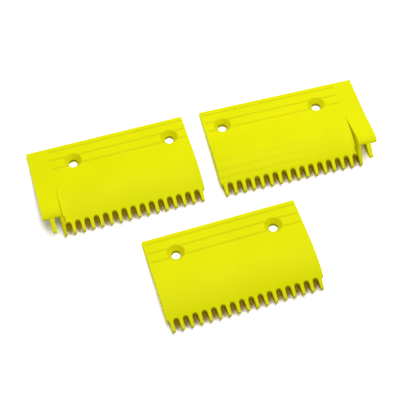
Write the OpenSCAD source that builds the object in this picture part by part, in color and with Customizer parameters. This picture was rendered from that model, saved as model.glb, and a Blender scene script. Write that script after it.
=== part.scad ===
// Set of three escalator comb segments laid out on a table: left side, centre and right side.
// Units are millimetres, +Z is up and the table is z = 0. Each segment is one moulded piece.
// In a segment's own frame X runs along the teeth row, the teeth point to -Y and the face is z = 0.

/* [Teeth] */
// distance between neighbouring teeth, the same as the step groove pitch
tooth_pitch = 9.07; // [8.5:0.01:9.5]
// teeth on each segment
tooth_count = 17; // [17:1:17]
// width of the slot between two teeth at its round end
slot_width = 5.3; // [5:0.05:5.6]
// width of a tooth at its rounded tip
tip_width = 2.8; // [2.4:0.1:3.2]
// distance from the rear edge to the round end of the slots
slot_reach = 84.6; // [83.5:0.1:86]
// radius of the tooth tip seen from the side
tip_radius = 2.4; // [2:0.1:2.6]
// depth of the fins below the face
fin_depth = 20.7; // [20:0.1:21.5]
// how much narrower a pocket is than the slot in front of it, on each side
pocket_inset = 0.4; // [0.3:0.05:0.5]
// how much shallower the outermost fin under a side margin is
short_fin_rise = 9.2; // [8.5:0.1:9.8]
// how much wider the outermost fin is, on its outer side
edge_fin_extra = 0.8; // [0.4:0.1:1.2]

/* [Face] */
// gap left between a segment and its neighbour when fitted
joint_gap = 0.5; // [0.3:0.05:0.8]
// flat length of the face behind the curve
flat_length = 47; // [45:0.5:49]
// radius of the curve that leads down to the teeth
bend_radius = 70; // [66:1:74]
// slope of the face at the teeth, in degrees
front_slope = 30; // [29:0.5:31]
// thickness of the skin over the pockets
skin = 4.5; // [4:0.1:5]
// thickness at the rear edge and of the side margin
lip = 4.8; // [4.5:0.1:5.2]
// thickness of the seat that the screws pass through
seat_thickness = 7.4; // [7:0.1:7.8]
// distance from the rear edge to the front of the seat
seat_end = 36.5; // [35:0.5:38]
// depth of the outer side wall at the heel of the fins
side_wall_depth = 15.5; // [14:0.1:17]

/* [Grooves] */
// distance from the rear edge to the first grip groove
groove_first = 5.4; // [5:0.1:6]
// distance from one grip groove to the next
groove_step = 10.6; // [10:0.1:11]
// number of grip grooves
groove_count = 3; // [2:1:3]
// width of a grip groove
groove_width = 1.7; // [1.2:0.1:2.2]
// depth of a grip groove
groove_depth = 0.7; // [0.4:0.1:1]
// plain length left at each end of a grip groove
groove_inset = 2.4; // [2:0.1:3]

/* [Screw holes] */
// distance between the two screw holes of a segment
hole_spacing = 97.5; // [95:0.5:100]
// distance from the rear edge to the screw holes
hole_reach = 22; // [21:0.5:23]
// how far the holes of a side segment sit towards its inner end
hole_shift = 9.6; // [9:0.1:10.2]
// diameter of the screw hole
bore_diameter = 9; // [8.6:0.1:9.4]
// diameter of the countersunk recess at the face
recess_diameter = 17.4; // [16.5:0.1:18]
// depth of the countersunk recess for the screw head
recess_depth = 4.8; // [4.4:0.1:5]

/* [Side margin] */
// plain width outside the first tooth of a side segment
margin_width = 5; // [4.6:0.1:5.4]
// distance from the rear edge to the start of the raised margin
ramp_start = 45; // [44:0.5:46]
// length of the rising part of the margin
ramp_length = 29; // [28:0.5:30]
// angle at which the margin rises, in degrees
ramp_angle = 6.9; // [6.5:0.1:7.3]
// radius of the crest of the margin
crest_radius = 11.5; // [11:0.1:12]
// radius of the nose of the margin
nose_radius = 2; // [1.8:0.05:2.2]
// how far the underside of the nose lies below the face
nose_foot = 2.9; // [2.6:0.1:3.2]
// lean of the margin's inner wall, in degrees
wall_lean = 8.5; // [7:0.5:10]

/* [Layout] */
// angle at which each segment rests on the table, in degrees
rest_tilt = 12; // [12:0.5:12.5]
// rear left corner of the left segment
left_at = [-167.62, 108.71]; // [-170:0.01:110]
// rear left corner of the centre segment
centre_at = [-82.32, -11.99]; // [-90:0.01:0]
// turn of the centre segment, in degrees
centre_turn = 1.23; // [0:0.1:2]
// rear left corner of the right segment
right_at = [8.98, 107.81]; // [0:0.01:110]
// turn of the right segment, in degrees
right_turn = -1.42; // [-2:0.1:0]

/* [Hidden] */
$fn = 96;
slack = 0.5;
overlap = 5;
slot_r = slot_width / 2;
tooth_width = tooth_pitch - slot_width;
body_width = tooth_count * tooth_pitch - joint_gap;
side_width = body_width + margin_width;
heel = (fin_depth - lip) / tan(rest_tilt);
seat_start = (seat_thickness - lip) / tan(rest_tilt);
bend_v = flat_length + bend_radius * sin(front_slope);
bend_w = -bend_radius * (1 - cos(front_slope));
slope_run = (fin_depth - tip_radius * (1 + cos(front_slope)) + bend_w) / sin(front_slope);
tip_v = bend_v + slope_run * cos(front_slope) - tip_radius * sin(front_slope);
tip_w = tip_radius - fin_depth;
reach = tip_v + tip_radius + fin_depth;
short_w = tip_w + short_fin_rise;
crest_v = ramp_start + ramp_length + crest_radius * sin(ramp_angle);
crest_w = ramp_length * tan(ramp_angle) - crest_radius * cos(ramp_angle);
nose_w = nose_radius - nose_foot;
nose_turn = acos((nose_w - crest_w) / (crest_radius - nose_radius));
nose_v = crest_v + (crest_radius - nose_radius) * sin(nose_turn);
margin_edge = margin_width + 1.5 * tooth_pitch - joint_gap / 2 + tooth_width / 2;
side_end = slot_reach + slot_r - slack;
chord = atan(-bend_w / (bend_v - ramp_start));
plastic = [0.86, 0.87, 0.03];

function tooth_at(k) = (k - 0.5) * tooth_pitch - joint_gap / 2;
function slot_at(k) = k * tooth_pitch - joint_gap / 2;

// points on an arc in a side view, with angles measured from straight up towards the front
function arc(v, w, r, from, to, parts) = [
    for (i = [0 : parts]) let (a = from + (to - from) * i / parts) [v + r * sin(a), w + r * cos(a)]
];

// turns a side view drawn as [distance from rear edge, height] into a slab from u0 to u1
module slab(u0, u1) {
    translate([u0, 0, 0]) rotate([90, 0, 90]) linear_extrude(u1 - u0) mirror([1, 0]) children();
}

// everything under the face and its curve, t below them, back from the slope
module under_curve(t) {
    translate([-slack, -fin_depth - slack]) square([flat_length + slack, fin_depth + slack - t]);
    intersection() {
        translate([flat_length, -bend_radius]) circle(bend_radius - t, $fn = 240);
        translate([flat_length - slack, -fin_depth - slack])
            square([slack + (bend_radius - t) * sin(front_slope), fin_depth + slack]);
    }
}

// everything under the slope at the teeth, t below it
module under_slope(t) {
    from_v = bend_v - t * sin(front_slope);
    from_w = bend_w - t * cos(front_slope);
    polygon([
        [from_v, from_w], [from_v + reach * cos(front_slope), from_w - reach * sin(front_slope)],
        [from_v + reach * cos(front_slope), -reach], [from_v - overlap, -reach],
        [from_v - overlap, from_w - overlap]
    ]);
}

// side view of the regular part with its sloping fins and round tips
module fin_view() {
    intersection() {
        under_curve(0);
        polygon([
            [0, slack], [reach, slack], [reach, -fin_depth], [heel, -fin_depth],
            [seat_end, -seat_thickness], [seat_start, -seat_thickness], [0, -lip]
        ]);
    }
    polygon(concat(
        [[bend_v, bend_w]],
        arc(tip_v, tip_w, tip_radius, front_slope, 180, 10),
        [[heel, -fin_depth], [bend_v - overlap, bend_w - overlap]]
    ));
}

// side view of the outer strips beside the first and last fin
module side_view() {
    intersection() {
        union() {
            under_curve(0);
            under_slope(0);
        }
        polygon([
            [0, slack], [side_end, slack], [side_end, -side_wall_depth], [heel, -side_wall_depth],
            [seat_end, -seat_thickness], [seat_start, -seat_thickness], [0, -lip]
        ]);
    }
}

// side view of a pocket between two fins
module pocket_view() {
    intersection() {
        union() {
            under_curve(skin);
            under_slope(skin);
        }
        translate([seat_end, -fin_depth - slack / 2]) square([reach / 2, reach]);
    }
}

// side view of the raised margin and of the seat behind it
module margin_view() {
    polygon(concat(
        [[0, 0], [ramp_start, 0]],
        arc(crest_v, crest_w, crest_radius, -ramp_angle, nose_turn, 10),
        arc(nose_v, nose_w, nose_radius, nose_turn + 12, 180, 8),
        [
            [nose_v - (lip - nose_foot) / tan(ramp_angle), -lip], [seat_end, -lip],
            [seat_end, -seat_thickness], [seat_start, -seat_thickness], [0, -lip]
        ]
    ));
}

// side view of a fin that runs out of the margin's nose to a round tip at height at_w
module ridge_view(at_w) {
    from_v = nose_v + (nose_radius - slack) * sin(nose_turn);
    from_w = nose_w + (nose_radius - slack) * cos(nose_turn);
    span = sqrt(pow(tip_v - from_v, 2) + pow(from_w - at_w, 2));
    fall = atan2(from_w - at_w, tip_v - from_v) - asin(tip_radius / span);
    floor_w = at_w - tip_radius;
    floor_v = seat_end + (heel - seat_end) * (-floor_w - seat_thickness) / (fin_depth - seat_thickness);
    polygon(concat(
        [[seat_end - slack, -lip + slack], [from_v, from_w]],
        arc(tip_v, at_w, tip_radius, fall, 180, 10),
        [[floor_v, floor_w], [seat_end, -seat_thickness], [seat_end - slack, -seat_thickness]]
    ));
}

// plan of one tooth, tapering from its root to a half-round tip, and extra wider on its left side
module tooth_plan(at, root, end, extra = 0) {
    root_r = (tooth_width + extra) / 2;
    tip_r = (tip_width + extra) / 2;
    translate([at - extra / 2, 0]) {
        polygon([
            [-root_r, -seat_end], [root_r, -seat_end], [root_r, -root],
            [tip_r, -end + tip_r], [-tip_r, -end + tip_r], [-root_r, -root]
        ]);
        translate([0, -end + tip_r]) circle(tip_r);
    }
}

// plan of what is cut away in front of the regular teeth, from slot first to the last slot
module row_gaps(from, first) {
    difference() {
        translate([from - slack, -reach]) square([body_width - from + 2 * slack, reach - slot_reach]);
        difference() {
            translate([from - slack, -slot_reach - slot_r])
                square([body_width - from + 2 * slack, slot_reach]);
            for (k = [first : tooth_count]) translate([slot_at(k), -slot_reach - slot_r]) circle(slot_r);
        }
        for (k = [first + 1 : tooth_count]) tooth_plan(tooth_at(k), slot_reach + slot_r, tip_v + tip_radius);
    }
}

// plan of what is cut away in front of and between the margin's two teeth
module margin_gaps() {
    difference() {
        translate([-slack, -reach]) square([margin_edge + 2 * slack, reach - nose_v]);
        translate([-slack, -nose_v - 2 * nose_radius])
            square([margin_edge + 2 * slack, 2 * nose_radius + slack]);
        tooth_plan(margin_width + tooth_at(1), slot_reach, tip_v + tip_radius, edge_fin_extra);
        tooth_plan(margin_width + tooth_at(2), slot_reach, tip_v + tip_radius);
    }
}

// regular part of a segment, with slots from first on
module row_shape(first) {
    from = first == 0 ? 0 : slot_at(first) - slot_r - tooth_width / 2;
    difference() {
        union() {
            slab(max(from, tooth_at(1) - tooth_width / 2), tooth_at(tooth_count) + tooth_width / 2)
                fin_view();
            slab(from, body_width) side_view();
        }
        translate([0, 0, -fin_depth - slack]) linear_extrude(fin_depth + 2 * slack)
            row_gaps(from, first);
        for (k = [max(first, 1) : tooth_count - 1])
            slab(slot_at(k) - slot_r + pocket_inset, slot_at(k) + slot_r - pocket_inset) pocket_view();
    }
}

// margin with its raised face, two fins and leaning inner wall
module margin_shape() {
    first_fin = margin_width + tooth_at(1) - tooth_width / 2;
    difference() {
        union() {
            slab(0, margin_edge) margin_view();
            slab(first_fin - edge_fin_extra, first_fin + tooth_width) ridge_view(short_w);
            slab(margin_edge - tooth_width, margin_edge) ridge_view(tip_w);
        }
        translate([0, 0, -fin_depth - slack]) linear_extrude(fin_depth + 2 * crest_radius)
            margin_gaps();
        translate([margin_edge, -ramp_start, 0]) rotate([chord, 0, 0]) rotate([0, -wall_lean, 0])
            translate([0, -reach, 0]) cube([reach, 2 * reach, reach]);
    }
}

// screw hole with its countersunk recess
module screw_hole() {
    flare = (recess_diameter - bore_diameter) / 2 / recess_depth;
    rotate_extrude($fn = 64) polygon([
        [0, -seat_thickness - slack], [bore_diameter / 2, -seat_thickness - slack],
        [bore_diameter / 2, -recess_depth], [recess_diameter / 2 + slack * flare, slack], [0, slack]
    ]);
}

// screw holes and grip grooves
module face_cuts(middle, from, to) {
    for (side = [-1, 1]) translate([middle + side * hole_spacing / 2, -hole_reach, 0]) screw_hole();
    for (i = [0 : groove_count - 1])
        translate([from, -groove_first - i * groove_step - groove_width / 2, -groove_depth])
            cube([to - from, groove_width, groove_depth + slack]);
}

// centre segment in its own frame
module centre_shape() {
    difference() {
        row_shape(0);
        face_cuts(body_width / 2, groove_inset, body_width - groove_inset);
    }
}

// side segment in its own frame, with the margin at x = 0
module side_shape() {
    difference() {
        union() {
            translate([margin_width, 0, 0]) row_shape(2);
            margin_shape();
        }
        face_cuts(margin_width + body_width / 2 + hole_shift, margin_edge, side_width - groove_inset);
    }
}

// sets a segment down on its rear edge and the heels of its fins
module on_table(at, turn) {
    translate([at[0], at[1], lip * cos(rest_tilt)]) rotate([0, 0, turn]) rotate([-rest_tilt, 0, 0])
        children();
}

module left_comb() {
    color(plastic) on_table(left_at, 0) side_shape();
}

module centre_comb() {
    color(plastic) on_table(centre_at, centre_turn) centre_shape();
}

module right_comb() {
    color(plastic) on_table(right_at, right_turn) translate([side_width, 0, 0])
        mirror([1, 0, 0]) side_shape();
}

left_comb();
centre_comb();
right_comb();
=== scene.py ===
"""Three yellow escalator comb segments lying on a white table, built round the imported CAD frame.

Each segment is modelled in its own frame, in millimetres: x along the row of teeth, y towards the
rear edge and z up from the face. It is then scaled to metres, tilted and laid where its CAD node lies.
"""

import bpy
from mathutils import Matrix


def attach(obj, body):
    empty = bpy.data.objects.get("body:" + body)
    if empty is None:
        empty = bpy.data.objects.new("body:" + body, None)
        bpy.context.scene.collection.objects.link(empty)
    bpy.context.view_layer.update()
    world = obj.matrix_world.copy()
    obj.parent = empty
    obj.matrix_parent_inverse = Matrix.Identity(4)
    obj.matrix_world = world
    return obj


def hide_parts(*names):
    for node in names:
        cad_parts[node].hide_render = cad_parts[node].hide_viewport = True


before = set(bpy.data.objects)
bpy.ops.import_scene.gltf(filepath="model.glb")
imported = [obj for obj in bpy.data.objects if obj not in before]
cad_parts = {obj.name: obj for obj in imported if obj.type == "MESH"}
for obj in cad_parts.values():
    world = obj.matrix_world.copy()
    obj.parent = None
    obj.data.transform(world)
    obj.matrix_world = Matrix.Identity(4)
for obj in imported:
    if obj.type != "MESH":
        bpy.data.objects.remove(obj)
bpy.context.view_layer.update()

import logging
import math
from contextlib import contextmanager
from dataclasses import dataclass
from enum import Enum
from typing import Callable, Iterator, Sequence

import bmesh
from mathutils import Matrix, Vector

log = logging.getLogger("comb_segments")

MM = 0.001
MARGIN_OF_CUT = 2.0  # how far a cutting body reaches past what it cuts, in mm
PLAN_HEIGHTS = (-30.0, 10.0)  # the heights that a body drawn in plan reaches to, in mm
MERGE = 0.01  # corners closer than this become one, in mm
SLIVER = 0.002  # the same after the edges are rounded, in mm
FLAT_TURN = 0.4  # faces that meet at less than this become one, in degrees
NEAR = 0.3  # the middle of an edge this close to a surface lies on it, in mm
CLOSE = 0.1  # a corner this close to a line lies on it, in mm
FACING = 0.8  # a face looks one way if its normal's part that way is more than this
FACING_DOWN = 0.7  # the same for looking down
DECIMALS = 4  # corners are put in order by their places to this many decimals
PAINTED_SHADE_MARK = "depth"  # attribute that holds the painted shade, darker the deeper a surface lies between the fins or in a hollow
Point = tuple[float, float]


class View(Enum):
    """The plane that an outline is drawn in."""

    SIDE = "distance from the rear edge, height above the face; pushed out along x"
    PLAN = "x, distance from the rear edge; pushed out along z"


class Cut(Enum):
    """What one body does to another."""

    REMOVE = "DIFFERENCE"
    ADD = "UNION"
    KEEP_SHARED = "INTERSECT"


class Hand(Enum):
    """Which segment of the set it is."""

    LEFT = "left"
    CENTRE = "centre"
    RIGHT = "right"


# modelling tools


def select_only(*pieces: bpy.types.Object) -> None:
    """Makes these pieces the selection, the first one active.

    Args:
        pieces: the pieces to select.
    """
    bpy.ops.object.select_all(action="DESELECT")
    for piece in pieces:
        piece.select_set(True)
    bpy.context.view_layer.objects.active = pieces[0]


@contextmanager
def edit_mode(piece: bpy.types.Object) -> Iterator[None]:
    """Opens a piece in edit mode with all of it selected, and closes it again.

    Args:
        piece: the piece.

    Yields:
        Nothing; the piece is open until the block ends.
    """
    select_only(piece)
    bpy.ops.object.mode_set(mode="EDIT")
    bpy.ops.mesh.select_all(action="SELECT")
    yield
    bpy.ops.object.mode_set(mode="OBJECT")


def arc(centre: Point, radius: float, start: float, end: float, parts: int) -> list[Point]:
    """Points on an arc of a side view.

    Args:
        centre: distance from the rear edge and height of the arc's centre.
        radius: radius in mm.
        start: angle of the first point in degrees, from straight up towards the front.
        end: angle of the last point.
        parts: number of straight parts.

    Returns:
        The points from start to end.
    """
    points = []
    for i in range(parts + 1):
        turn = math.radians(start + (end - start) * i / parts)
        points.append((centre[0] + radius * math.sin(turn), centre[1] + radius * math.cos(turn)))
    return points


def slab(name: str, outline: Sequence[Point], view: View, start: float, end: float) -> bpy.types.Object:
    """Makes a body by pushing an outline out.

    Args:
        name: the new piece's name.
        outline: the outline's corners, in order.
        view: the plane that the outline is drawn in.
        start: where the body starts across that plane.
        end: where it ends.

    Returns:
        The closed body.
    """
    bpy.ops.object.select_all(action="DESELECT")
    bpy.ops.mesh.primitive_circle_add(vertices=len(outline), fill_type="NGON")
    piece = bpy.context.object
    piece.name = name
    for corner, (a, b) in zip(piece.data.vertices, outline):
        corner.co = (start, -a, b) if view is View.SIDE else (a, -b, start)
    push = (end - start, 0, 0) if view is View.SIDE else (0, 0, end - start)
    with edit_mode(piece):
        bpy.ops.mesh.extrude_region_move(TRANSFORM_OT_translate={"value": push})
        bpy.ops.mesh.select_all(action="SELECT")
        bpy.ops.mesh.normals_make_consistent(inside=False)
    return piece


def put_in_order(piece: bpy.types.Object) -> None:
    """Gives corners and faces a fixed order, because the boolean leaves them in a new one each run.

    Args:
        piece: the piece.
    """
    mesh = piece.data
    points = [tuple(corner.co) for corner in mesh.vertices]
    order = sorted(range(len(points)), key=lambda i: [round(c, DECIMALS) for c in points[i]])
    place = {old: new for new, old in enumerate(order)}
    faces = []
    for face in mesh.polygons:
        corners = [place[i] for i in face.vertices]
        first = corners.index(min(corners))
        faces.append(corners[first:] + corners[:first])
    mesh.clear_geometry()
    mesh.from_pydata([points[i] for i in order], [], sorted(faces))


def combine(piece: bpy.types.Object, tool: bpy.types.Object, how: Cut) -> None:
    """Applies a tool body to a piece and removes the tool.

    Args:
        piece: the piece.
        tool: the body that is applied to it.
        how: what the tool does to the piece.
    """
    modifier = piece.modifiers.new(how.name.lower(), "BOOLEAN")
    modifier.operation = how.value
    modifier.solver = "EXACT"
    modifier.object = tool
    select_only(piece)
    bpy.ops.object.modifier_apply(modifier=modifier.name)
    bpy.data.objects.remove(tool)
    put_in_order(piece)


def clean(piece: bpy.types.Object) -> None:
    """Merges doubled corners and takes out edges inside flat faces.

    Args:
        piece: the piece.
    """
    with edit_mode(piece):
        bpy.ops.mesh.remove_doubles(threshold=MERGE)
        bpy.ops.mesh.dissolve_limited(angle_limit=math.radians(FLAT_TURN))
        bpy.ops.mesh.dissolve_degenerate(threshold=MERGE)
        bpy.ops.mesh.select_all(action="SELECT")
        bpy.ops.mesh.normals_make_consistent(inside=False)


def choose_faces(piece: bpy.types.Object, wanted: Callable[[bmesh.types.BMFace], bool]) -> None:
    """Selects some faces of a piece that is open in edit mode.

    Args:
        piece: the piece.
        wanted: the test that a face has to pass.
    """
    bpy.ops.mesh.select_all(action="DESELECT")
    mesh = bmesh.from_edit_mesh(piece.data)
    for face in mesh.faces:
        if wanted(face):
            face.select_set(True)
    bmesh.update_edit_mesh(piece.data)


# segments


@dataclass
class CombSegment:
    """One injection-moulded comb segment; all sizes are in mm."""

    hand: Hand
    corner: Point  # the rear corner nearest the left, on the table
    turn: float  # turn on the table, degrees
    tilt: float = 12.0
    pitch: float = 9.07
    teeth: int = 17
    slot_width: float = 5.3
    tip_width: float = 3.0
    slot_reach: float = 84.6  # from the rear edge to the slots' round ends
    tip_radius: float = 2.4
    fin_depth: float = 20.7
    fin_foot: float = 0.5  # the lowest part of the fins, which has rounded edges of its own
    pocket_inset: float = 0.4
    pocket_run: float = 24.8  # how far the pockets run on past the bend
    joint_gap: float = 0.5  # between this segment and the next one in a row
    flat_length: float = 47.0
    bend_radius: float = 70.0
    front_slope: float = 30.0  # degrees
    skin: float = 4.5  # thickness of the face above the pockets
    lip: float = 4.8  # thickness of the rear edge
    seat_thickness: float = 7.4
    seat_end: float = 36.5
    side_wall_depth: float = 15.5
    groove_first: float = 5.4
    groove_step: float = 10.6
    groove_count: int = 3
    groove_width: float = 2.3
    groove_depth: float = 0.6
    groove_inset: float = 2.4
    groove_parts: int = 6
    hole_spacing: float = 97.5
    hole_reach: float = 22.0
    bore_diameter: float = 9.0
    bore_parts: int = 64
    recess_diameter: float = 17.4
    recess_depth: float = 4.8
    cut_above: float = 1.0  # how far the bodies that cut holes and grooves stand above the face
    bend_parts: int = 14
    tip_parts: int = 8
    arch_parts: int = 14
    corner_parts: int = 5
    round_corner: float = 1.2  # rounding of the front corners, seen from above
    round_edge: float = 0.65  # rounding of the edges of the face and the teeth
    round_under: float = 0.4  # rounding of the edges underneath
    round_recess: float = 0.9  # rounding of the recess's rim
    round_bore: float = 0.4  # rounding of the bore's upper rim
    round_most: float = 4.0  # rounding of an edge of full weight; the others are parts of it
    round_parts: int = 3
    round_from: float = 35.0  # an edge that turns less stays as it is, degrees
    smooth_to: float = 32.0  # an edge that turns less is shaded smooth, degrees
    plain_rim: float = 1.0  # how near the outer sides and the rear edge the colour stays plain, with no painted shade
    painted_shade_depth: float = 2.4  # how far below the face the painted shade between the fins is darkest
    hollow_shade_depth: float = 0.6  # the same in the grooves and the recesses
    foot_shade: float = 0.8  # how strong the painted shade is at the foot of the raised margin's inner wall
    groove_shade: float = 0.22  # in the grooves
    recess_shade: float = 0.12  # in the recesses
    bore_shade: float = 0.6  # and in the bores

    def __post_init__(self) -> None:
        """Works out the sizes that follow from the others."""
        slope = math.radians(self.front_slope)
        self.slot_radius = self.slot_width / 2
        self.tooth_half = (self.pitch - self.slot_width) / 2
        self.body_width = self.teeth * self.pitch - self.joint_gap
        self.heel = (self.fin_depth - self.lip) / math.tan(math.radians(self.tilt))
        self.seat_start = (self.seat_thickness - self.lip) / math.tan(math.radians(self.tilt))
        self.bend_end = (
            self.flat_length + self.bend_radius * math.sin(slope),
            -self.bend_radius * (1 - math.cos(slope)),
        )
        run = (self.fin_depth - self.tip_radius * (1 + math.cos(slope)) + self.bend_end[1]) / math.sin(slope)
        self.tip_centre = (
            self.bend_end[0] + run * math.cos(slope) - self.tip_radius * math.sin(slope),
            self.tip_radius - self.fin_depth,
        )
        self.tip_end = self.tip_centre[0] + self.tip_radius
        self.root = self.slot_reach + self.slot_radius

    @property
    def name(self) -> str:
        """The segment's name, which is also its CAD node's."""
        return f"{self.hand.value}_comb"

    @property
    def origin(self) -> float:
        """x of the first tooth's side of the row."""
        return 0.0

    @property
    def width(self) -> float:
        """Full width of the segment."""
        return self.body_width

    def tooth_at(self, k: int) -> float:
        """x of tooth k's middle."""
        return self.origin + (k - 0.5) * self.pitch - self.joint_gap / 2

    def slot_at(self, k: int) -> float:
        """x of the middle of the slot after tooth k."""
        return self.origin + k * self.pitch - self.joint_gap / 2

    def fin_outline(self) -> list[Point]:
        """Side view of the row with its sloping fins and round tips.

        Returns:
            The corners in order.
        """
        bend = (self.flat_length, -self.bend_radius)
        return (
            [(0.0, 0.0)]
            + arc(bend, self.bend_radius, 0, self.front_slope, self.bend_parts)
            + arc(self.tip_centre, self.tip_radius, self.front_slope, 180, self.tip_parts)
            + [(self.heel, -self.fin_depth), (self.seat_end, -self.seat_thickness)]
            + [(self.seat_start, -self.seat_thickness), (0.0, -self.lip)]
        )

    def pocket_outline(self) -> list[Point]:
        """Side view of what is hollow under the skin.

        Returns:
            The corners in order.
        """
        slope = math.radians(self.front_slope)
        under = self.bend_radius - self.skin
        bend = (self.flat_length, -self.bend_radius)
        last = (bend[0] + under * math.sin(slope), bend[1] + under * math.cos(slope))
        front = last[0] + self.pocket_run * math.cos(slope)
        floor = -self.fin_depth - MARGIN_OF_CUT - self.pocket_run
        return (
            [(self.seat_end, -self.skin)]
            + arc(bend, under, 0, self.front_slope, self.bend_parts)
            + [(front, last[1] - self.pocket_run * math.sin(slope)), (front, floor), (self.seat_end, floor)]
        )

    def tooth_plan(self, k: int, root: float, extra: float = 0.0) -> list[Point]:
        """Plan of a tapering tooth, from its right side to its left.

        Args:
            k: the tooth's number.
            root: where its taper starts, from the rear edge.
            extra: how much wider it is on its left side.

        Returns:
            The corners in order.
        """
        middle, half = self.tooth_at(k) - extra / 2, self.tooth_half + extra / 2
        beyond = self.tip_end + MARGIN_OF_CUT
        drift = (self.tooth_half - self.tip_width / 2) / (self.tip_end - root)
        narrow = half - drift * (beyond - root)
        right = [(middle + half, root), (middle + narrow, beyond)]
        return right + [(middle - narrow, beyond), (middle - half, root)]

    def arch(self, middle: float) -> list[Point]:
        """Corners of a slot's round end, between its two straight sides.

        Args:
            middle: x of the slot's middle.

        Returns:
            The corners in order.
        """
        radius = self.slot_radius
        turns = (math.pi * i / self.arch_parts for i in range(1, self.arch_parts))
        return [(middle + radius * math.cos(t), self.root - radius * math.sin(t)) for t in turns]

    def strip_end(self) -> list[Point]:
        """Plan of an outer strip's front: a rounded corner that runs into half a slot.

        Returns:
            The corners, each as its distance in from the strip's side and from the rear edge.
        """
        reach = self.slot_radius + self.round_corner
        turn = math.acos((self.round_corner + self.joint_gap / 2) / reach)
        level = self.root - reach * math.sin(turn)
        turns = [turn * i / self.corner_parts for i in range(self.corner_parts + 1)]
        corner = [
            (self.round_corner * (1 - math.cos(t)), level + self.round_corner * math.sin(t)) for t in turns
        ]
        half_slot = [
            (self.slot_radius * math.cos(t) - self.joint_gap / 2, self.root - self.slot_radius * math.sin(t))
            for t in reversed(turns[:-1])
        ]
        return corner + half_slot

    def row_plan(self, start: float, first_slot: int) -> list[Point]:
        """Plan of the row, from x = start, with its slots and tapering teeth.

        Args:
            start: x where the row starts.
            first_slot: number of the first slot; 0 where the row starts with a side strip.

        Returns:
            The corners in order.
        """
        end = self.origin + self.body_width
        points: list[Point] = [(start, -MARGIN_OF_CUT), (end, -MARGIN_OF_CUT)]
        points += [(end - inset, front) for inset, front in self.strip_end()[:-1]]
        for k in range(self.teeth, first_slot, -1):
            points += self.tooth_plan(k, self.root)
            if k > 1:
                points += self.arch(self.slot_at(k - 1))
        if first_slot:
            return points + [(start, self.root)]
        return points + [(start + inset, front) for inset, front in reversed(self.strip_end()[:-1])]

    def pockets(self, first: int) -> bpy.types.Object:
        """Builds the body that cuts the pockets, one under each slot.

        Args:
            first: number of the first slot that has one.

        Returns:
            The pockets, joined into one object.
        """
        half = self.slot_radius - self.pocket_inset
        model = slab("pocket", self.pocket_outline(), View.SIDE, -half, half)
        copies = []
        for k in range(first, self.teeth):
            one = model.copy()
            one.data = model.data.copy()
            one.data.transform(Matrix.Translation((self.slot_at(k), 0, 0)))
            bpy.context.collection.objects.link(one)
            copies.append(one)
        bpy.data.objects.remove(model)
        select_only(*copies)
        bpy.ops.object.join()
        return copies[0]

    def row(self, start: float, first_slot: int) -> bpy.types.Object:
        """Builds the row: face, skin, fins, pockets and outer strips.

        Args:
            start: x where the row starts.
            first_slot: number of the first slot; 0 where the row starts with a side strip.

        Returns:
            The row as one body.
        """
        end = self.origin + self.body_width
        body = slab(self.name, self.fin_outline(), View.SIDE, start - MARGIN_OF_CUT, end + MARGIN_OF_CUT)
        plan = self.row_plan(start, first_slot)
        combine(body, slab("plan", plan, View.PLAN, *PLAN_HEIGHTS), Cut.KEEP_SHARED)
        combine(body, self.pockets(max(first_slot, 1)), Cut.REMOVE)
        strips = [(self.tooth_at(self.teeth) + self.tooth_half, end + MARGIN_OF_CUT)]
        if not first_slot:
            strips.append((start - MARGIN_OF_CUT, self.tooth_at(1) - self.tooth_half))
        front, floor = self.root + MARGIN_OF_CUT, -self.fin_depth - MARGIN_OF_CUT
        under = [
            (self.seat_end, -self.seat_thickness),
            (self.heel, -self.side_wall_depth),
            (front, -self.side_wall_depth),
            (front, floor),
            (self.seat_end, floor),
        ]
        for low, high in strips:
            combine(body, slab("strip", under, View.SIDE, low, high), Cut.REMOVE)
        return body

    def hole_row_middle(self) -> float:
        """x midway between the two screw holes."""
        return self.width / 2

    def groove_span(self) -> Point:
        """x where the grip grooves start and end."""
        return self.groove_inset, self.width - self.groove_inset

    def cut_screw_hole(self, body: bpy.types.Object, middle: float) -> None:
        """Cuts a screw hole with the countersunk recess above it.

        Args:
            body: the segment's body.
            middle: x of the hole's axis.
        """
        bore, above = self.bore_diameter / 2, self.cut_above
        flare = (self.recess_diameter / 2 - bore) / self.recess_depth
        length = self.seat_thickness + above - self.recess_depth
        bpy.ops.object.select_all(action="DESELECT")
        bpy.ops.mesh.primitive_cylinder_add(
            vertices=self.bore_parts,
            radius=bore,
            depth=length,
            location=(middle, -self.hole_reach, -self.recess_depth - length / 2),
        )
        hole = bpy.context.object
        bpy.ops.object.transform_apply(location=True)
        with edit_mode(hole):
            choose_faces(hole, lambda face: face.normal.z > FACING)
            rise = (0, 0, self.recess_depth + above)
            bpy.ops.mesh.extrude_region_move(TRANSFORM_OT_translate={"value": rise})
            wide = 1 + flare * rise[2] / bore
            bpy.ops.transform.resize(
                value=(wide, wide, 1), center_override=(middle, -self.hole_reach, above)
            )
        combine(body, hole, Cut.REMOVE)

    def cut_groove(self, body: bpy.types.Object, middle: float) -> None:
        """Cuts a grip groove with a round section.

        Args:
            body: the segment's body.
            middle: the groove's distance from the rear edge.
        """
        half, depth = self.groove_width / 2, self.groove_depth
        radius = (half**2 + depth**2) / (2 * depth)
        reach = math.degrees(math.asin(half / radius))
        bottom = arc((middle, radius - depth), radius, 180 - reach, 180 + reach, self.groove_parts)
        outline = [(middle + half, self.cut_above), *bottom, (middle - half, self.cut_above)]
        combine(body, slab("groove", outline, View.SIDE, *self.groove_span()), Cut.REMOVE)

    def cut_face(self, body: bpy.types.Object) -> None:
        """Cuts the screw holes and the grip grooves.

        Args:
            body: the segment's body.
        """
        for side in (-1, 1):
            self.cut_screw_hole(body, self.hole_row_middle() + side * self.hole_spacing / 2)
        for i in range(self.groove_count):
            self.cut_groove(body, self.groove_first + i * self.groove_step)

    def solid(self) -> bpy.types.Object:
        """Builds the segment's sharp-edged body."""
        return self.row(0.0, 0)

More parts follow.
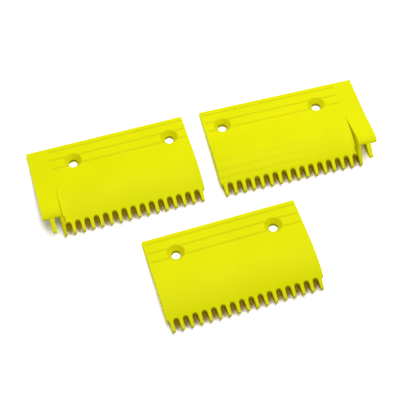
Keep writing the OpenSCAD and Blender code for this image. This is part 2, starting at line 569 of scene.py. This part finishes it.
    def softness(self, start: Vector, end: Vector) -> float:
        """How much an outstanding edge is rounded, in mm.

        Args:
            start: one end of the edge.
            end: its other end.

        Returns:
            The rounding's width, or 0 for a sharp edge.
        """
        middle = (start + end) / 2
        front, height = -middle.y, middle.z
        on_face = height > self.face_height(front) - NEAR
        if front > self.root:
            return self.round_edge
        if self.near_hole(middle):
            return self.round_recess if on_face else self.round_bore
        if front > self.bend_end[0] and height > self.fin_foot - self.fin_depth:
            return self.round_edge if on_face else 0.0
        if min(middle.x, self.width - middle.x, front) < NEAR:
            return self.round_edge if on_face else self.round_under
        return 0.0

    def near_hole(self, point: Vector) -> bool:
        """Whether a point lies on the recess's rim or on the bore's upper rim.

        Args:
            point: a point of the segment's own frame.

        Returns:
            True if it does.
        """
        for side in (-1, 1):
            across = point.x - self.hole_row_middle() - side * self.hole_spacing / 2
            away = math.hypot(across, point.y + self.hole_reach)
            for height, diameter in ((0.0, self.recess_diameter), (-self.recess_depth, self.bore_diameter)):
                if abs(point.z - height) < CLOSE and abs(away - diameter / 2) < 2 * CLOSE:
                    return True
        return False

    def face_height(self, front: float) -> float:
        """Height of the face.

        Args:
            front: distance from the rear edge.

        Returns:
            The height at that distance.
        """
        if front < self.flat_length:
            return 0.0
        if front < self.bend_end[0]:
            return -self.bend_radius + math.sqrt(self.bend_radius**2 - (front - self.flat_length) ** 2)
        return self.bend_end[1] - (front - self.bend_end[0]) * math.tan(math.radians(self.front_slope))

    def round_edges(self, body: bpy.types.Object) -> None:
        """Gives each edge its own rounding and shades the body smooth.

        Args:
            body: the segment's body.
        """
        mesh = bmesh.new()
        mesh.from_mesh(body.data)
        layer = mesh.edges.layers.float.new("bevel_weight_edge")
        for edge in mesh.edges:
            if edge.is_convex and edge.calc_face_angle(0.0) > math.radians(self.round_from):
                edge[layer] = self.softness(*(corner.co for corner in edge.verts)) / self.round_most
        mesh.to_mesh(body.data)
        mesh.free()
        rounding = body.modifiers.new("rounding", "BEVEL")
        rounding.limit_method = "WEIGHT"
        rounding.width = self.round_most
        rounding.segments = self.round_parts
        rounding.use_clamp_overlap = False
        select_only(body)
        bpy.ops.object.modifier_apply(modifier=rounding.name)
        with edit_mode(body):
            bpy.ops.mesh.remove_doubles(threshold=SLIVER)
        select_only(body)
        bpy.ops.object.shade_smooth_by_angle(angle=math.radians(self.smooth_to))
        even = body.modifiers.new("even_shading", "WEIGHTED_NORMAL")
        even.keep_sharp = True
        bpy.ops.object.modifier_apply(modifier=even.name)

    def paint_shade(self, body: bpy.types.Object) -> None:
        """Paints shade into each face's corners, from 0 to 1: darker the further they lie below the face
        between the fins or in a hollow, and of a set strength at the foot of a raised margin's inner wall.

        Args:
            body: the segment's body.
        """
        painted_shades = body.data.attributes.new(PAINTED_SHADE_MARK, "FLOAT", "CORNER")
        for face in body.data.polygons:
            across, front, height = face.center.x, -face.center.y, face.center.z
            hollow = front < self.seat_end
            underneath = face.normal.z < -FACING_DOWN and (hollow or -height > self.fin_depth / 2)
            if underneath or min(across, self.width - across, front) < self.plain_rim:
                continue
            full = self.hollow_shade_depth if hollow else self.painted_shade_depth
            raised = abs(face.normal.x) > FACING and height > self.face_height(front) + 2 * CLOSE
            for corner in face.loop_indices:
                point = body.data.vertices[body.data.loops[corner].vertex_index].co
                below = self.face_height(-point.y) - point.z
                most = self.hollow_shade_strength(point) if hollow else 1.0
                # painted shade, darker the further the corner lies below the face
                painted_shades.data[corner].value = most * min(max(below / full, 0.0), 1.0)
                # painted shade of a set strength on the margin's inner wall and on the face at its foot
                if (raised and below > -NEAR) or self.at_foot(point, below):
                    painted_shades.data[corner].value = self.foot_shade

    def hollow_shade_strength(self, point: Vector) -> float:
        """Tells how strong the painted shade is at the bottom of a groove, a recess or a bore.

        Args:
            point: a corner of the segment's own frame.

        Returns:
            The tone's strength, from 0 to 1.
        """
        if point.z > -self.groove_depth - CLOSE / 2:
            return self.groove_shade
        return self.recess_shade if point.z > -self.recess_depth - CLOSE else self.bore_shade

    def at_foot(self, point: Vector, below: float) -> bool:
        """Whether a corner lies at the foot of a raised margin, where shade is painted; this segment has
        none.
        """
        return False

    def lay(self, body: bpy.types.Object) -> None:
        """Scales the body to metres and lays it where its CAD node lies.

        Args:
            body: the segment's body.
        """
        place = (
            Matrix.Translation((self.corner[0] * MM, self.corner[1] * MM, 0))
            @ Matrix.Rotation(math.radians(self.turn), 4, "Z")
            @ Matrix.Translation((0, 0, self.lip * MM * math.cos(math.radians(self.tilt))))
            @ Matrix.Rotation(math.radians(-self.tilt), 4, "X")
            @ Matrix.Scale(MM, 4)
        )
        body.data.transform(place)

    def build(self, finish: bpy.types.Material) -> bpy.types.Object:
        """Builds the segment, lays it down and lets it stand for its CAD node.

        Args:
            finish: the material of the whole segment.

        Returns:
            The finished piece.
        """
        body = self.solid()
        self.cut_face(body)
        clean(body)
        self.round_edges(body)
        self.paint_shade(body)
        self.lay(body)
        body.name = f"{self.name}_moulding"
        body.data.materials.append(finish)
        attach(body, "root")
        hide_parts(self.name)
        return body


@dataclass
class SideSegment(CombSegment):
    """A side segment, with the plain raised margin outside its first tooth."""

    margin_width: float = 5.0
    ramp_start: float = 45.0
    ramp_length: float = 29.0
    ramp_angle: float = 6.9
    crest_radius: float = 11.5
    nose_radius: float = 2.0
    nose_foot: float = 2.9
    nose_start: float = 15.0  # degrees between the crest's last point and the nose's first
    nose_parts: int = 8
    wall_lean: float = 8.5
    short_fin_rise: float = 9.2
    fin_overlap: float = 0.5  # how far the fins reach into the margin
    hole_shift: float = 9.6  # how far the holes lie off the row's middle
    edge_fin_extra: float = 0.8  # how much wider the outermost fin is, on its outer side
    foot_width: float = 2.4  # width of the strip beside the inner wall that gets painted shade
    foot_start: float = 4.0  # how far in front of the ramp's start that strip begins
    cusp: float = 0.9  # how far from the inner wall the first slot's edge stays sharp

    def __post_init__(self) -> None:
        """Works out the margin's own sizes."""
        super().__post_init__()
        ramp = math.radians(self.ramp_angle)
        self.crest_centre = (
            self.ramp_start + self.ramp_length + self.crest_radius * math.sin(ramp),
            self.ramp_length * math.tan(ramp) - self.crest_radius * math.cos(ramp),
        )
        nose_height = self.nose_radius - self.nose_foot
        reach = self.crest_radius - self.nose_radius
        self.nose_turn = math.degrees(math.acos((nose_height - self.crest_centre[1]) / reach))
        turn = math.radians(self.nose_turn)
        self.nose_centre = (self.crest_centre[0] + reach * math.sin(turn), nose_height)
        self.margin_edge = self.tooth_at(2) + self.tooth_half
        chord = Vector((0, self.ramp_start - self.bend_end[0], self.bend_end[1])).normalized()
        lean = math.radians(self.wall_lean)
        self.wall_corner = Vector((self.margin_edge, -self.ramp_start, 0))
        self.wall_normal = Vector((math.cos(lean), 0, 0)) + Vector((0, chord.z, -chord.y)) * math.sin(lean)

    @property
    def origin(self) -> float:
        """x of the first tooth's side of the row."""
        return self.margin_width

    @property
    def width(self) -> float:
        """Full width of the segment."""
        return self.body_width + self.margin_width

    def margin_outline(self) -> list[Point]:
        """Side view of the raised margin and the seat behind it.

        Returns:
            The corners in order.
        """
        foot = self.nose_centre[0] - (self.lip - self.nose_foot) / math.tan(math.radians(self.ramp_angle))
        return (
            [(0.0, 0.0), (self.ramp_start, 0.0)]
            + arc(self.crest_centre, self.crest_radius, -self.ramp_angle, self.nose_turn, self.nose_parts)
            + arc(self.nose_centre, self.nose_radius, self.nose_turn + self.nose_start, 180, self.nose_parts)
            + [(foot, -self.lip), (self.seat_end, -self.lip), (self.seat_end, -self.seat_thickness)]
            + [(self.seat_start, -self.seat_thickness), (0.0, -self.lip)]
        )

    def ridge_outline(self, height: float) -> list[Point]:
        """Side view of a fin that runs out of the margin's nose.

        Args:
            height: height of the centre of the fin's round tip.

        Returns:
            The corners in order.
        """
        turn = math.radians(self.nose_turn)
        inset = self.nose_radius - self.fin_overlap
        start = (self.nose_centre[0] + inset * math.sin(turn), self.nose_centre[1] + inset * math.cos(turn))
        run, drop = self.tip_centre[0] - start[0], start[1] - height
        fall = math.degrees(math.atan2(drop, run) - math.asin(self.tip_radius / math.hypot(run, drop)))
        floor = height - self.tip_radius
        back = self.seat_end + (self.heel - self.seat_end) * (-floor - self.seat_thickness) / (
            self.fin_depth - self.seat_thickness
        )
        rear = self.seat_end - self.fin_overlap
        return (
            [(rear, self.fin_overlap - self.lip), start]
            + arc((self.tip_centre[0], height), self.tip_radius, fall, 180, self.tip_parts)
            + [(back, floor), (self.seat_end, -self.seat_thickness), (rear, -self.seat_thickness)]
        )

    def margin_plan(self) -> list[Point]:
        """Plan of the margin and its two tapering teeth.

        Returns:
            The corners in order.
        """
        start = self.slot_reach
        teeth = self.tooth_plan(2, start) + self.tooth_plan(1, start, self.edge_fin_extra)
        left, right = -MARGIN_OF_CUT, self.margin_edge + MARGIN_OF_CUT
        return [(left, -MARGIN_OF_CUT), (right, -MARGIN_OF_CUT), (right, start), *teeth, (left, start)]

    def margin(self) -> bpy.types.Object:
        """Builds the margin with its two fins and leaning inner wall.

        Returns:
            The margin as one body.
        """
        body = slab("margin", self.margin_outline(), View.SIDE, 0.0, self.margin_edge)
        for k, rise, extra in ((1, self.short_fin_rise, self.edge_fin_extra), (2, 0.0, 0.0)):
            middle = self.tooth_at(k)
            outline = self.ridge_outline(self.tip_centre[1] + rise)
            fin = slab("fin", outline, View.SIDE, middle - self.tooth_half - extra, middle + self.tooth_half)
            combine(body, fin, Cut.ADD)
        combine(body, slab("plan", self.margin_plan(), View.PLAN, *PLAN_HEIGHTS), Cut.KEEP_SHARED)
        with edit_mode(body):
            bpy.ops.mesh.bisect(
                plane_co=self.wall_corner, plane_no=self.wall_normal, clear_outer=True, use_fill=True
            )
        return body

    def solid(self) -> bpy.types.Object:
        """Builds the segment's sharp-edged body.

        Returns:
            The body.
        """
        body = self.row(self.tooth_at(2), 2)
        combine(body, self.margin(), Cut.ADD)
        return body

    def softness(self, start: Vector, end: Vector) -> float:
        """How much an outstanding edge is rounded, in mm.

        Args:
            start: one end of the edge.
            end: its other end.

        Returns:
            The rounding's width, or 0 for a sharp edge.
        """
        middle = (start + end) / 2
        front, height = -middle.y, middle.z
        on_row = abs(height - self.face_height(front)) < NEAR
        if on_row and front > self.slot_reach and middle.x < self.margin_edge + self.cusp:
            return 0.0
        if middle.x < NEAR:
            return self.round_edge if height > NEAR - self.lip else self.round_under
        return super().softness(start, end)

    def round_edges(self, body: bpy.types.Object) -> None:
        """Splits off the strip of the face beside the inner wall, which gets painted shade, and rounds the
        edges.

        Args:
            body: the segment's body.
        """

        def on_face(face: bmesh.types.BMFace) -> bool:
            """Whether a face is part of the segment's face in front of the seat."""
            return face.normal.z > FACING and -face.calc_center_median().y > self.seat_end

        with edit_mode(body):
            choose_faces(body, on_face)
            bpy.ops.mesh.bisect(plane_co=(self.margin_edge + self.foot_width, 0, 0), plane_no=(1, 0, 0))
        super().round_edges(body)

    def at_foot(self, point: Vector, below: float) -> bool:
        """Whether a corner of the face, so far below it, lies at the foot of the raised margin, where shade
        is painted.
        """
        beside_wall = abs(point.x - self.margin_edge) < CLOSE
        return beside_wall and abs(below) < CLOSE / 2 and -point.y > self.ramp_start + self.foot_start

    def hole_row_middle(self) -> float:
        """x midway between the two screw holes."""
        return self.margin_width + self.body_width / 2 + self.hole_shift

    def groove_span(self) -> Point:
        """x where the grip grooves start and end."""
        return self.margin_edge, self.width - self.groove_inset

    def lay(self, body: bpy.types.Object) -> None:
        """Mirrors the body for the right-hand segment and lays it down.

        Args:
            body: the segment's body.
        """
        if self.hand is Hand.RIGHT:
            body.data.transform(Matrix.Translation((self.width, 0, 0)) @ Matrix.Scale(-1, 4, (1, 0, 0)))
            body.data.flip_normals()
        super().lay(body)


# finishes


def srgb(code: str) -> tuple[float, float, float, float]:
    """Turns a hex colour such as #E6E711 into the linear values that Blender works in.

    Args:
        code: the colour.

    Returns:
        Red, green, blue and a full alpha.
    """
    # the curve of the sRGB standard
    parts = (int(code[i : i + 2], 16) / 255 for i in (1, 3, 5))
    red, green, blue = (c / 12.92 if c <= 0.04045 else ((c + 0.055) / 1.055) ** 2.4 for c in parts)
    return red, green, blue, 1.0


MIX_A, MIX_B, MIXED = 6, 7, 2  # a Mix node's two colour inputs and its colour output


def node(
    tree: bpy.types.NodeTree, kind: str, settings: dict[str | int, object], **links: bpy.types.NodeSocket
) -> bpy.types.Node:
    """Adds a node with its settings and links.

    Args:
        tree: the node tree.
        kind: the node's type name.
        settings: properties of the node, and values of its sockets by name or number.
        links: output sockets to join to the inputs of these names, with _ for a space, or _6 for input 6.

    Returns:
        The new node.
    """
    made = tree.nodes.new(kind)
    for name, value in settings.items():
        if isinstance(name, str) and hasattr(made, name):
            setattr(made, name, value)
        else:
            made.inputs[name].default_value = value
    for name, socket in links.items():
        key = int(name[1:]) if name[1:].isdigit() else name.replace("_", " ")
        tree.links.new(socket, made.inputs[key])
    return made


def seen_directly(tree: bpy.types.NodeTree) -> bpy.types.NodeSocket:
    """Adds nodes that give 1 where the camera sees a surface straight, mirrored or through glass.

    Args:
        tree: the node tree.

    Returns:
        The socket with that value.
    """
    path = node(tree, "ShaderNodeLightPath", {}).outputs
    larger = {"operation": "MAXIMUM"}
    either = node(tree, "ShaderNodeMath", larger, _0=path["Is Camera Ray"], _1=path["Is Glossy Ray"])
    seen = node(tree, "ShaderNodeMath", larger, _0=either.outputs[0], _1=path["Is Transmission Ray"])
    return seen.outputs[0]


def new_material(name: str) -> tuple[bpy.types.Material, bpy.types.NodeTree]:
    """Makes an empty node material.

    Args:
        name: the material's name.

    Returns:
        The material and its node tree.
    """
    material = bpy.data.materials.new(name)
    material.use_nodes = True
    material.node_tree.nodes.clear()
    return material, material.node_tree


@dataclass(frozen=True)
class MouldedAbs:
    """ABS, injection moulded in a spark-eroded steel mould and coloured right through.

    To the eye: an even, satin yellow with a fine grain, faint clouds of a deeper shade and soft sink
    waves, but no sharp reflections. Between the fins and in the hollows it has painted shade, a dark amber.
    """

    name: str = "yellow ABS, injection moulded"
    colour: str = "#E8E904"
    shade: str = "#E2E502"  # slightly deeper where the melt met and cooled
    painted_shade_colour: str = "#9A7C10"  # painted shade between the fins and in the hollows: a dark amber that stands in for the shade there
    patch: float = 38.0  # size of the faint differences in colour, mm
    patch_range: Point = (0.4, 0.65)  # values of the pattern between which the deeper shade comes in
    patch_most: float = 0.6  # the most of the deeper shade
    grain: float = 0.55  # the mould's grain, drawn coarser than its true 0.05 mm so that it shows
    grain_depth: float = 0.006  # mm
    sink: float = 16.0  # size of the soft waves in the face, mm
    sink_depth: float = 0.03  # mm
    roughness: float = 0.45
    roughness_spread: float = 0.06
    specular: float = 0.03  # next to none, because the faces mirror no lamp
    refraction: float = 1.53  # typical of ABS

    def make(self) -> bpy.types.Material:
        """Builds the node material.

        Returns:
            The material.
        """
        material, tree = new_material(self.name)
        place = node(tree, "ShaderNodeTexCoord", {}).outputs["Object"]
        clouds = {"Scale": 1 / (self.patch * MM), "Detail": 3.0}
        patches = node(tree, "ShaderNodeTexNoise", clouds, Vector=place).outputs["Fac"]
        low, high = self.patch_range
        limits = {"From Min": low, "From Max": high, "To Max": self.patch_most}
        spread = node(tree, "ShaderNodeMapRange", limits, Value=patches).outputs["Result"]
        yellows = {"data_type": "RGBA", MIX_A: srgb(self.colour), MIX_B: srgb(self.shade)}
        yellow = node(tree, "ShaderNodeMix", yellows, _0=spread).outputs[MIXED]
        # painted shade: the depth attribute mixes the yellow towards a dark amber
        depth = node(tree, "ShaderNodeAttribute", {"attribute_name": PAINTED_SHADE_MARK}).outputs["Fac"]
        amber = {"data_type": "RGBA", MIX_B: srgb(self.painted_shade_colour)}
        painted_shading = node(tree, "ShaderNodeMix", amber, _0=depth, _6=yellow).outputs[MIXED]
        smoothest, dullest = self.roughness - self.roughness_spread, self.roughness + self.roughness_spread
        spans = {"To Min": smoothest, "To Max": dullest}
        dull = node(tree, "ShaderNodeMapRange", spans, Value=patches).outputs["Result"]
        relief: dict[str, bpy.types.NodeSocket] = {}
        for size, height, detail in ((self.sink, self.sink_depth, 1.0), (self.grain, self.grain_depth, 2.0)):
            pattern = {"Scale": 1 / (size * MM), "Detail": detail}
            waves = node(tree, "ShaderNodeTexNoise", pattern, Vector=place).outputs["Fac"]
            bump = node(tree, "ShaderNodeBump", {"Distance": height * MM}, Height=waves, **relief)
            relief = {"Normal": bump.outputs["Normal"]}
        gloss = {"IOR": self.refraction, "Specular IOR Level": self.specular}
        plastic = node(tree, "ShaderNodeBsdfPrincipled", gloss, Base_Color=painted_shading, Roughness=dull, **relief)
        node(tree, "ShaderNodeOutputMaterial", {}, Surface=plastic.outputs["BSDF"])
        return material


@dataclass(frozen=True)
class WhiteSheet:
    """Matt coated card, the plain white sheet that the set lies on.

    To the eye: flat white with no gloss. The camera sees it lighter than it lights the plastic. Between
    the teeth it shows painted shade: one even olive tone that the card gives off itself, not the lamps.
    """

    name: str = "matt white card"
    colour: str = "#F6F5F4"
    near: str = "#7D6616"  # painted shade between the teeth, which the card gives off as its own light; it stands in for the shade where light comes only off the yellow plastic
    reach: float = 9.0  # mm; how near the plastic has to be on both sides
    rise: float = 0.4  # how steeply the card looks up to each side, as a part of how far it looks across
    open_sky: float = 0.90  # part of the light from the freer side that gets in where the painted shade ends
    shut_sky: float = 0.72  # and where it is full
    lift: float = 1.0  # how much lighter, as a part of the light that falls on it
    rows: tuple[Point, Point] = ((20.0, 20.0), (-100.0, 20.0))  # y and half depth of the strip under each row of teeth that the painted shade is kept to, mm

    def make(self) -> bpy.types.Material:
        """Builds the node material.

        Returns:
            The material.
        """
        material, tree = new_material(self.name)
        card = node(tree, "ShaderNodeBsdfDiffuse", {"Color": srgb(self.colour)}).outputs["BSDF"]
        seen = seen_directly(tree)
        more = node(tree, "ShaderNodeMapRange", {"To Max": self.lift}, Value=seen)
        lighter = node(tree, "ShaderNodeBsdfDiffuse", {}, Color=more.outputs["Result"]).outputs["BSDF"]
        open_card = node(tree, "ShaderNodeAddShader", {}, _0=card, _1=lighter).outputs["Shader"]
        # painted shade: between the teeth the card gives off an even olive light of its own
        painted_shade_card = node(tree, "ShaderNodeEmission", {"Color": srgb(self.near)}).outputs["Emission"]
        painted_shading = self.painted_shade_mask(tree)
        both = node(tree, "ShaderNodeMixShader", {}, _0=painted_shading, _1=open_card, _2=painted_shade_card)
        node(tree, "ShaderNodeOutputMaterial", {}, Surface=both.outputs["Shader"])
        return material

    def painted_shade_mask(self, tree: bpy.types.NodeTree) -> bpy.types.NodeSocket:
        """Adds nodes that give 1 where the card lies between two teeth, where it gets the painted shade.

        Args:
            tree: the node tree.

        Returns:
            The socket with that value.
        """
        sides = []
        for across in (-1.0, 1.0):
            side = node(tree, "ShaderNodeCombineXYZ", {"X": across, "Z": self.rise}).outputs["Vector"]
            look = node(tree, "ShaderNodeAmbientOcclusion", {"Distance": self.reach * MM}, Normal=side)
            sides.append(look.outputs["AO"])
        sky = node(tree, "ShaderNodeMath", {"operation": "MAXIMUM"}, _0=sides[0], _1=sides[1]).outputs[0]
        limits = {"From Min": self.shut_sky, "From Max": self.open_sky, "To Min": 1.0, "To Max": 0.0}
        near = node(tree, "ShaderNodeMapRange", limits, Value=sky).outputs["Result"]
        place = node(tree, "ShaderNodeTexCoord", {}).outputs["Object"]
        along = node(tree, "ShaderNodeSeparateXYZ", {}, Vector=place).outputs["Y"]
        strips = []
        for middle, half in self.rows:
            strip = {"operation": "COMPARE", 1: middle * MM, 2: half * MM}
            strips.append(node(tree, "ShaderNodeMath", strip, _0=along).outputs[0])
        under = node(tree, "ShaderNodeMath", {"operation": "ADD"}, _0=strips[0], _1=strips[1]).outputs[0]
        return node(tree, "ShaderNodeMath", {"operation": "MULTIPLY"}, _0=near, _1=under).outputs[0]


# stage


@dataclass(frozen=True)
class SoftBox:
    """A square soft lamp that points at the middle of the set."""

    name: str
    azimuth: float  # where it hangs, in degrees from +X towards +Y
    height: float  # its height in degrees above the table
    share: float  # about what part of the full light it gives a surface facing it
    size: float  # its side in mm
    distance: float = 1200.0  # from the middle of the set, mm

    def hang(self) -> None:
        """Hangs the lamp."""
        turn, rise = math.radians(self.azimuth), math.radians(self.height)
        away = Vector((math.cos(turn) * math.cos(rise), math.sin(turn) * math.cos(rise), math.sin(rise)))
        bpy.ops.object.light_add(type="AREA", location=away * self.distance * MM)
        lamp = bpy.context.object
        lamp.name = self.name
        lamp.rotation_euler = away.to_track_quat("Z", "Y").to_euler()
        lamp.data.shape = "SQUARE"
        lamp.data.size = self.size * MM
        full = 4 * math.pi * (self.distance * MM) ** 2  # watts for about full light
        lamp.data.energy = self.share * full


@dataclass
class Studio:
    """The white table, the soft lights and the camera; all sizes are in mm."""

    sheet: WhiteSheet = WhiteSheet()
    table: float = 6000.0  # side of the sheet
    world_strength: float = 0.28
    world_tint: str = "#E6E6FF"  # the faint blue of daylight that fills the shadows
    world_seen: str = "#FFFFFF"  # and the colour that the camera sees
    lamps: tuple[SoftBox, ...] = (
        SoftBox("back_box", azimuth=60.0, height=45.0, share=0.15, size=900.0),
        SoftBox("top_box", azimuth=60.0, height=80.0, share=0.62, size=900.0),
    )
    eye: tuple[float, float, float] = (-165.85, -450.35, 1076.86)  # where the camera stands
    back: tuple[float, float, float] = (-0.1276, -0.3968, 0.909)  # the direction from the set to it
    roll: float = 2.0587  # degrees
    lens: float = 109.53
    sensor: float = 36.0
    shift: float = -0.00675  # a part of the frame's width
    sight: float = 20000.0  # how far the camera sees

    def build(self) -> None:
        """Builds the stage."""
        self.lay_sheet()
        self.light_world()
        for lamp in self.lamps:
            lamp.hang()
        self.set_camera()
        bpy.context.scene.view_settings.view_transform = "Standard"

    def lay_sheet(self) -> None:
        """Lays the white sheet under the set."""
        bpy.ops.object.select_all(action="DESELECT")
        bpy.ops.mesh.primitive_plane_add(size=self.table * MM, location=(0, 0, 0))
        table = bpy.context.object
        table.name = "table"
        table.data.materials.append(self.sheet.make())

    def light_world(self) -> None:
        """Sets the even light of the surroundings, white where the camera sees it."""
        world = bpy.data.worlds.new("surroundings")
        bpy.context.scene.world = world
        world.use_nodes = True
        tree = world.node_tree
        tree.nodes.clear()
        seen = seen_directly(tree)
        strengths = {"To Min": self.world_strength, "To Max": 1.0}
        strength = node(tree, "ShaderNodeMapRange", strengths, Value=seen).outputs["Result"]
        tints = {"data_type": "RGBA", MIX_A: srgb(self.world_tint), MIX_B: srgb(self.world_seen)}
        tint = node(tree, "ShaderNodeMix", tints, _0=seen).outputs[MIXED]
        sky = node(tree, "ShaderNodeBackground", {}, Color=tint, Strength=strength)
        node(tree, "ShaderNodeOutputWorld", {}, Surface=sky.outputs["Background"])

    def set_camera(self) -> None:
        """Sets the camera where it stood for the photograph."""
        back = Vector(self.back).normalized()
        right = Vector((-back.y, back.x, 0)).normalized()
        up = back.cross(right)
        turn = math.radians(self.roll)
        across = right * math.cos(turn) + up * math.sin(turn)
        above = up * math.cos(turn) - right * math.sin(turn)
        bpy.ops.object.camera_add()
        camera = bpy.context.object
        facing = Matrix((across, above, back)).transposed().to_4x4()
        camera.matrix_world = Matrix.Translation(Vector(self.eye) * MM) @ facing
        camera.data.lens = self.lens
        camera.data.sensor_width = self.sensor
        camera.data.shift_y = self.shift
        camera.data.clip_end = self.sight * MM
        bpy.context.scene.camera = camera


# main


def main() -> None:
    """Builds the stage and the set."""
    logging.basicConfig(level=logging.INFO, format="%(message)s")
    Studio().build()
    plastic = MouldedAbs().make()
    segments = [
        SideSegment(Hand.LEFT, corner=(-167.62, 108.71), turn=0.0),
        CombSegment(Hand.CENTRE, corner=(-82.32, -11.99), turn=1.23),
        SideSegment(Hand.RIGHT, corner=(8.98, 107.81), turn=-1.42),
    ]
    for segment in segments:
        piece = segment.build(plastic)
        log.info("%s: %d faces", piece.name, len(piece.data.polygons))


if __name__ == "__main__":
    main()
